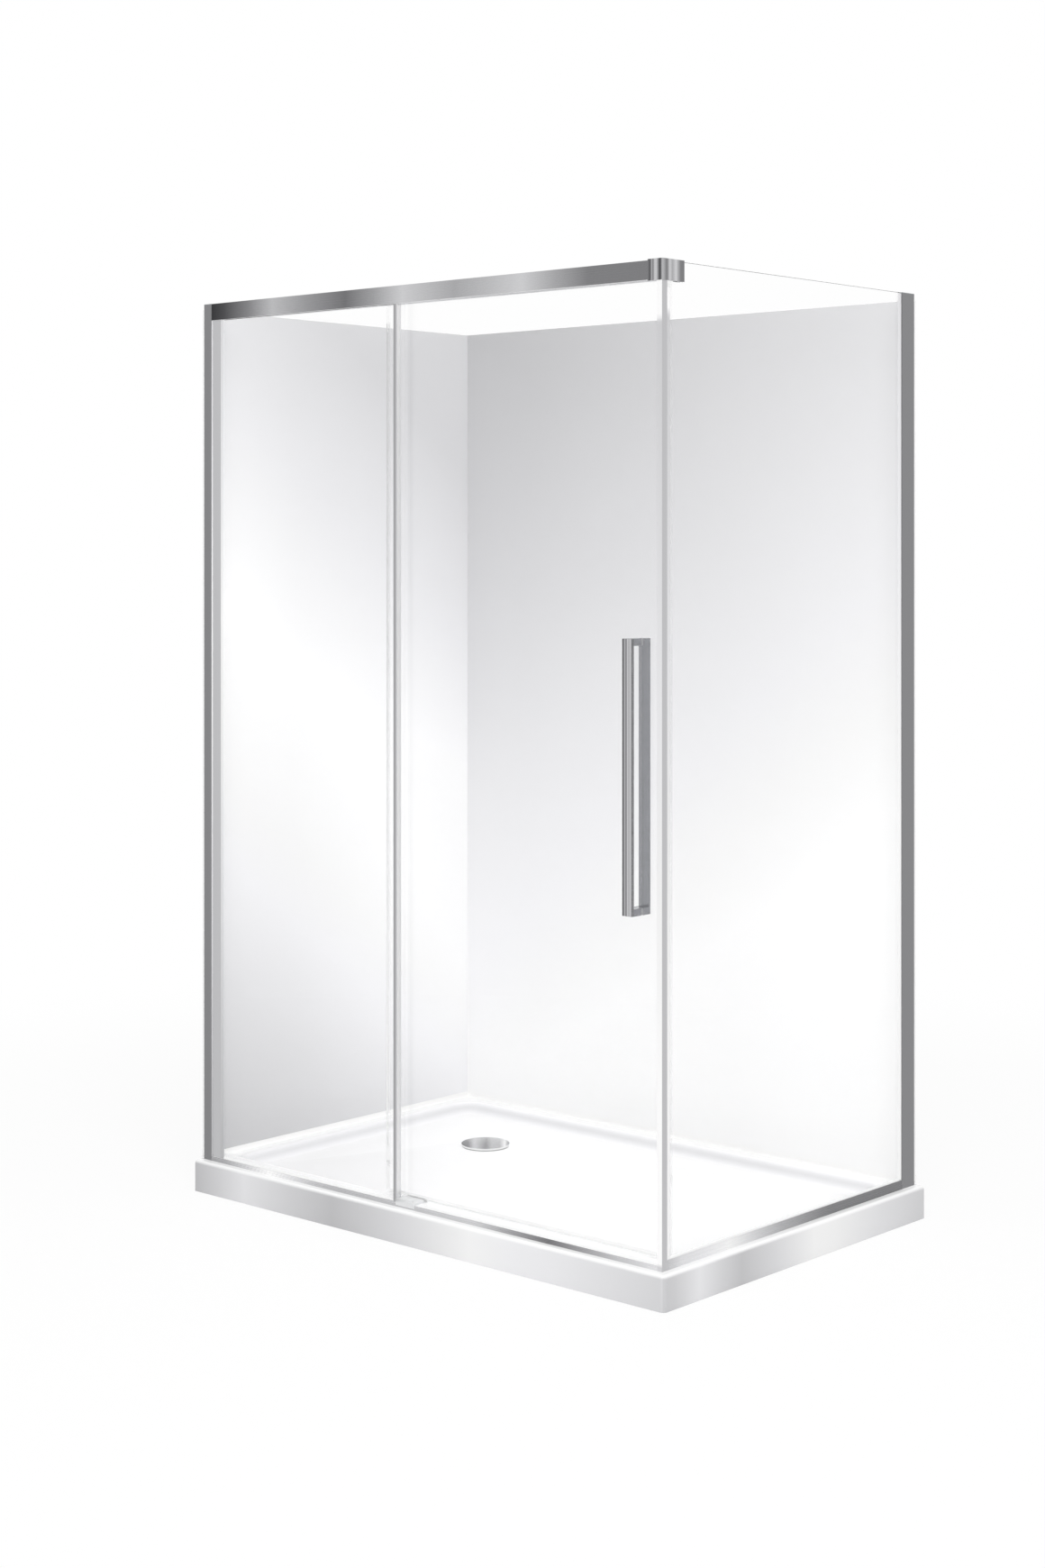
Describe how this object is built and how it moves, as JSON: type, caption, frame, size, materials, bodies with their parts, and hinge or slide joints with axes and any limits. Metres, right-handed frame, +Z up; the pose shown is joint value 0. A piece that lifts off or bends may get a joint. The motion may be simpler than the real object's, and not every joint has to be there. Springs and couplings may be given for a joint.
{
  "type": "shower enclosure",
  "caption": "Corner shower enclosure: glass front and side, a glass door that slides on wheels hidden in the top rail, a low tray with a lift-out waste cover, and lined walls.",
  "frame": {"origin": "centre of the tray footprint, on the floor", "axes": "+X to the right along the front, +Y from the front to the rear wall, +Z up; stored with the door closed"},
  "size_m": [1.35, 0.9, 2],
  "materials": {
    "tray_acrylic": "gloss white",
    "lining_acrylic": "gloss pale grey",
    "clear_glass": "clear polished",
    "rail_metal": "polished",
    "channel_metal": "satin anodised, darker",
    "stile_metal": "satin anodised",
    "chrome": "polished chrome",
    "stainless": "plain stainless",
    "clear_vinyl": "clear, soft",
    "clear_guide": "translucent",
    "black_rubber": "matt",
    "grey_rubber": "matt",
    "white_nylon": "white",
    "grey_plastic": "grey",
    "board": "sealed plywood"
  },
  "bodies": {
    "enclosure": {"shower_tray": "tray_acrylic", "tray_base_board": "board", "foot_pads": "black_rubber", "foot_studs": "stainless", "foot_sockets": "grey_plastic", "waste_flange": "chrome", "waste_body": "grey_plastic", "waste_seals": "black_rubber", "wall_lining_left": "lining_acrylic", "wall_lining_back": "lining_acrylic", "wall_channel_left": "channel_metal", "adjusting_stile": "stile_metal", "channel_lock_screws": "stainless", "channel_top_caps": "grey_plastic", "wall_channel_side": "channel_metal", "front_sill": "rail_metal", "sill_infill": "clear_vinyl", "side_sill": "stile_metal", "corner_post": "stile_metal", "fixed_glass_front": "clear_glass", "side_glass": "clear_glass", "setting_blocks": "clear_vinyl", "front_glass_gaskets": "clear_vinyl", "side_glass_gaskets": "clear_vinyl", "meeting_stile": "stile_metal", "meeting_fin_seal": "clear_vinyl", "top_rail": "rail_metal", "corner_bracket": "chrome", "corner_clamp_plate": "chrome", "corner_clamp_screws": "stainless", "corner_pads": "grey_rubber", "rail_wall_tongue": "stile_metal", "rail_end_screws": "stainless", "rail_stops": "grey_plastic", "rail_stop_bumpers": "black_rubber", "rail_stop_screws": "stainless", "bottom_guide": "clear_guide", "guide_screws": "stainless", "strike_strip": "clear_vinyl"},
    "door": {"door_glass": "clear_glass", "door_leading_seal": "clear_vinyl", "door_trailing_seal": "clear_vinyl", "door_bottom_seal": "clear_vinyl", "handle_outer_bar": "chrome", "handle_inner_bar": "chrome", "handle_outer_posts": "chrome", "handle_inner_posts": "chrome", "handle_washers": "clear_vinyl", "handle_studs": "stainless", "roller_axles": "stainless", "roller_washers": "white_nylon", "roller_cap_nuts": "chrome", "roller_bushes": "white_nylon"},
    "leading_roller": {"roller_wheel_leading": "white_nylon", "roller_bearing_leading": "stainless"},
    "trailing_roller": {"roller_wheel_trailing": "white_nylon", "roller_bearing_trailing": "stainless"},
    "waste_cover_set": {"waste_cover": "chrome", "hair_strainer": "grey_plastic"}
  },
  "joints": [
    {"name": "door_slide", "type": "slide", "parent": "enclosure", "child": "door", "axis": [-1, 0, 0], "range_m": [0, 0.53]},
    {"name": "leading_roller_spin", "type": "hinge", "parent": "door", "child": "leading_roller", "pos_m": [0.557, -0.408, 1.9762], "axis": [0, 1, 0], "continuous": true},
    {"name": "trailing_roller_spin", "type": "hinge", "parent": "door", "child": "trailing_roller", "pos_m": [-0.0435, -0.408, 1.9762], "axis": [0, 1, 0], "continuous": true},
    {"name": "waste_cover_lift", "type": "slide", "parent": "enclosure", "child": "waste_cover_set", "axis": [0, 0, 1], "range_m": [0, 0.12]}
  ],
  "couplings": [
    {"joint": "leading_roller_spin", "follows": "door_slide", "rad_per_m": -96.154},
    {"joint": "trailing_roller_spin", "follows": "door_slide", "rad_per_m": -96.154}
  ]
}
